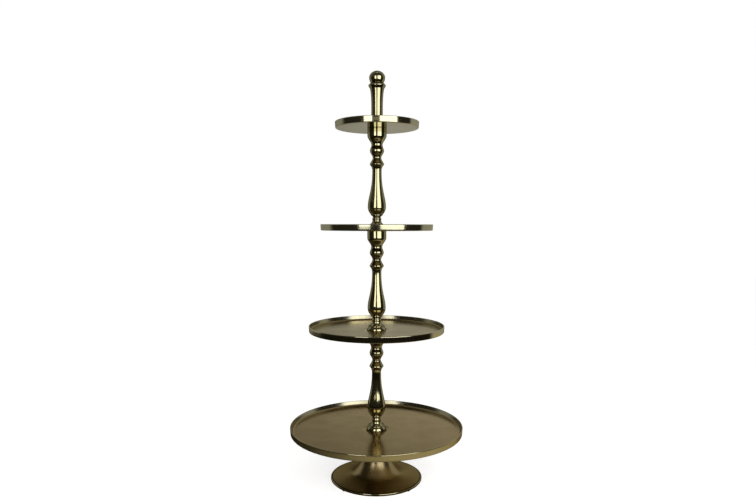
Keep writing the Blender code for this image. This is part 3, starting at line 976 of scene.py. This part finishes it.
def curved_screen(name, start, end, rows, material):
    """A band round the stand between two azimuths, through rows of (radius, height, share of pale)."""
    azimuths = [start + (end - start) * index / SCREEN_STEPS for index in range(SCREEN_STEPS + 1)]
    places = [around(azimuth, reach, level) for reach, level, _ in rows for azimuth in azimuths]
    shares = [share(azimuth) for _, _, share in rows for azimuth in azimuths]
    count = len(azimuths)
    faces = []
    for row in range(len(rows) - 1):
        for corner in range(row * count, row * count + SCREEN_STEPS):
            faces.append((corner, corner + 1, corner + count + 1, corner + count))
    mesh = new_mesh(name, places, faces, [material])
    mesh.attributes.new("pale_share", "FLOAT", "POINT").data.foreach_set("value", shares)
    made = place_mesh(name, mesh)
    for way in ("visible_camera", "visible_diffuse", "visible_shadow", "visible_transmission"):
        setattr(made, way, False)
    print(f"{name}: {len(faces)} panels")


print("a screen has", SCREEN_STEPS, "panels a row")

# %% [markdown]
# The room goes all the way round. Its front, where the camera stands, is dark, wall and ceiling alike. Behind
# the stand it turns into the backdrop, which the flanks of the columns and the ends of the rims mirror. The
# backdrop is paler on the right, brightest at the height of the middle trays, and dark close to the floor.

# %% The dark room and its backdrop
ROOM_RADIUS, ROOM_HEIGHT, CEILING_HOLE = 1.75, 2.4, 0.2
DARK_UNTIL, PALE_FROM = 96, 108
BEHIND_FROM, BEHIND_TO = 135, 160
SIDE_SHARE = 1.15
RIGHT_GAIN, RIGHT_TURN = 0.28, 4
# height of a row of the wall, and how pale it is in front of the stand and behind it
WALL_ROWS = (
    (0.0, 0.0, 0.1), (0.30, 0.0, 0.1), (0.42, 0.0, 1.0), (0.70, 0.0, 1.0), (0.82, 0.0, 0.55),
    (1.05, 0.0, 0.53), (1.20, 0.12, 0.52), (ROOM_HEIGHT, 0.12, 0.42),
)
CEILING_FRONT, CEILING_BACK = 0.06, 0.42


def pale_behind(front, back):
    """Dark round the front, paler towards the backdrop, and paler on the right than on the left."""
    def share(azimuth):
        turned = ramp(abs(azimuth), DARK_UNTIL, PALE_FROM)
        behind = ramp(abs(azimuth), BEHIND_FROM, BEHIND_TO)
        right = min(max(RIGHT_TURN * sin(radians(azimuth)), -1.0), 1.0)
        pale = (SIDE_SHARE + behind * (back - SIDE_SHARE)) * (1.0 + RIGHT_GAIN * right)
        return front + turned * (pale - front)
    return share


room = [(ROOM_RADIUS, level, pale_behind(front, back)) for level, front, back in WALL_ROWS]
room.append((CEILING_HOLE, ROOM_HEIGHT, pale_behind(CEILING_FRONT, CEILING_BACK)))
room_glow = glow("dark_room", dark=(0.028, 0.026, 0.020), pale=(0.44, 0.44, 0.41))
curved_screen("dark_room", -180, 180, room, room_glow)

# %% [markdown]
# Reflections see a floor that is much dimmer than the white one in the picture: warm, brightest in a half
# ring in front of the stand, and darkest close to the foot, where the stand itself keeps the light off. It
# shows in the near rims and in the lower halves of the beads.

# %% The dim floor
DIM_FLOOR_LEVEL = 2 * MM
RIGHT_FALL = 0.90
# radius of a row, and how pale it is in front of the stand and behind it
FLOOR_ROWS = (
    (ROOM_RADIUS, 0.0, 0.60), (0.95, 0.0, 0.60), (0.70, 0.08, 0.55), (0.53, 0.55, 0.45),
    (0.43, 0.82, 0.40), (0.30, 0.42, 0.26), (0.15, 0.34, 0.17), (0.09, 0.10, 0.02),
)


def front_to_back(front, back):
    """One share in front and another behind, falling off to the left, away from the larger softbox."""
    def share(azimuth):
        turned = ramp(abs(azimuth), DARK_UNTIL, PALE_FROM)
        return (front + turned * (back - front)) * (1.0 + RIGHT_FALL * sin(radians(azimuth)))
    return share


dim_floor = [(reach, DIM_FLOOR_LEVEL, front_to_back(front, back)) for reach, front, back in FLOOR_ROWS]
floor_glow = glow("dim_floor", dark=(0.012, 0.010, 0.007), pale=(0.55, 0.475, 0.33))
curved_screen("dim_floor", -180, 180, dim_floor, floor_glow)

# %% [markdown]
# Between the softboxes, a strip of wall behind the camera catches some light. It keeps the line between the
# two stripes from going quite black.

# %% The wall between the softboxes
STRIP_RADIUS, STRIP_BOTTOM, STRIP_TOP = 1.70, 0.78, 0.96
STRIP_LEFT, STRIP_RIGHT = -9, 7

strip = [(STRIP_RADIUS, level, front_to_back(1.0, 1.0)) for level in (STRIP_BOTTOM, STRIP_TOP)]
strip_glow = glow("pale_wall", dark=(0.0, 0.0, 0.0), pale=(0.30, 0.28, 0.20))
curved_screen("pale_wall", STRIP_LEFT, STRIP_RIGHT, strip, strip_glow)

# %% [markdown]
# The floor that the camera sees is pale and plain, and it catches the soft shadow of the foot. To come out as
# white as the cut-out background of the photograph, it adds some light of its own to what is seen of it. The
# world behind it is white in the same way, and gives a plain, even light to everything else.

# %% Light that is seen but doesn't fall on anything
def larger(tree, first, second):
    """The larger of two values."""
    made = add_node(tree, "ShaderNodeMath", {"operation": "MAXIMUM"})
    feed(tree, made.inputs[0], first)
    feed(tree, made.inputs[1], second)
    return made.outputs["Value"]


def seen_directly(tree):
    """1 for rays from the camera, a reflection or a glass, and 0 for the light that falls on surfaces."""
    path = tree.nodes.new("ShaderNodeLightPath").outputs
    mirrored = larger(tree, path["Is Glossy Ray"], path["Is Transmission Ray"])
    return larger(tree, path["Is Camera Ray"], mirrored)


print("helpers for the white surroundings are ready")

# %% Floor
FLOOR_SIZE = 12.0
FLOOR_COLOUR = (0.80, 0.80, 0.79, 1.0)
FLOOR_LIFT = 0.72
WHITE = (1.0, 1.0, 1.0, 1.0)

bpy.ops.mesh.primitive_plane_add(size=FLOOR_SIZE)
floor = bpy.context.object
floor.name = "floor"
floor_material = bpy.data.materials.new("pale_floor")
floor_material.use_nodes = True
tree = floor_material.node_tree
tree.nodes.clear()
paint = add_node(tree, "ShaderNodeBsdfDiffuse", Color=FLOOR_COLOUR)
lift = span(tree, seen_directly(tree), 0.0, 1.0, 0.0, FLOOR_LIFT)
own = add_node(tree, "ShaderNodeEmission", Color=WHITE, Strength=lift)
both = tree.nodes.new("ShaderNodeAddShader")
tree.links.new(paint.outputs["BSDF"], both.inputs[0])
tree.links.new(own.outputs["Emission"], both.inputs[1])
add_node(tree, "ShaderNodeOutputMaterial", Surface=both.outputs["Shader"])
floor.data.materials.append(floor_material)
print("floor is", FLOOR_SIZE, "m wide")

# %% World
WORLD_LIGHT = 0.35

world = bpy.data.worlds.new("white_studio")
bpy.context.scene.world = world
world.use_nodes = True
tree = world.node_tree
strength = span(tree, seen_directly(tree), 0.0, 1.0, WORLD_LIGHT, 1.0)
background = tree.nodes["Background"]
background.inputs["Color"].default_value = WHITE
tree.links.new(strength, background.inputs["Strength"])
print("the world is white to the camera; its plain light is", WORLD_LIGHT)

# %% [markdown]
# ## Finish
#
# Colours are shown as they are, without a film look.

bpy.context.scene.view_settings.view_transform = "Standard"
